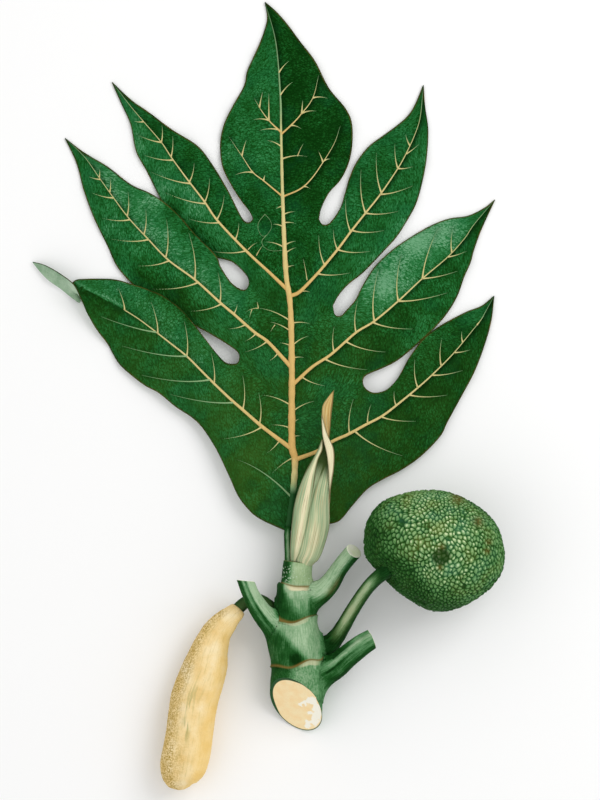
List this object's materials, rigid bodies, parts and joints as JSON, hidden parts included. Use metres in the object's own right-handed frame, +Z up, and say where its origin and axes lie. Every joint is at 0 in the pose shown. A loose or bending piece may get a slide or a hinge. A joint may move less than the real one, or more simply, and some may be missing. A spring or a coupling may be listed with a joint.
{
  "type": "breadfruit sprig",
  "caption": "Cut breadfruit sprig lying face up: lobed leaf, knobbly young fruit, male flower spike, bud sheath and stem with cut leaf stalks.",
  "frame": {"origin": "on the surface that the sprig lies on, under the middle of its bounding box", "axes": "+Y along the stem towards the leaf's tip, +X to the fruit's side, +Z up from the surface"},
  "size_m": [0.3066, 0.512, 0.0816],
  "materials": {
    "stem": "matt green bark with pale and ochre ring scars and a cream cut face",
    "leaf": "dark green with a soft sheen, cream veins",
    "bud_sheath": "matt grey-green with cream lengthwise stripes",
    "petiole_stub": "satin green",
    "fruit_stalk": "satin green",
    "fruit": "matt green, covered in small pale knobs",
    "flower_spike_stalk": "satin dark green",
    "flower_spike": "matt cream, finely grained"
  },
  "bodies": {
    "root": {"stem": "stem", "leaf": "leaf", "bud_sheath": "bud_sheath", "petiole_stub_left": "petiole_stub", "petiole_stub_upper_right": "petiole_stub", "petiole_stub_lower_right": "petiole_stub", "fruit_stalk": "fruit_stalk", "fruit": "fruit", "flower_spike_stalk": "flower_spike_stalk", "flower_spike": "flower_spike"}
  },
  "joints": []
}
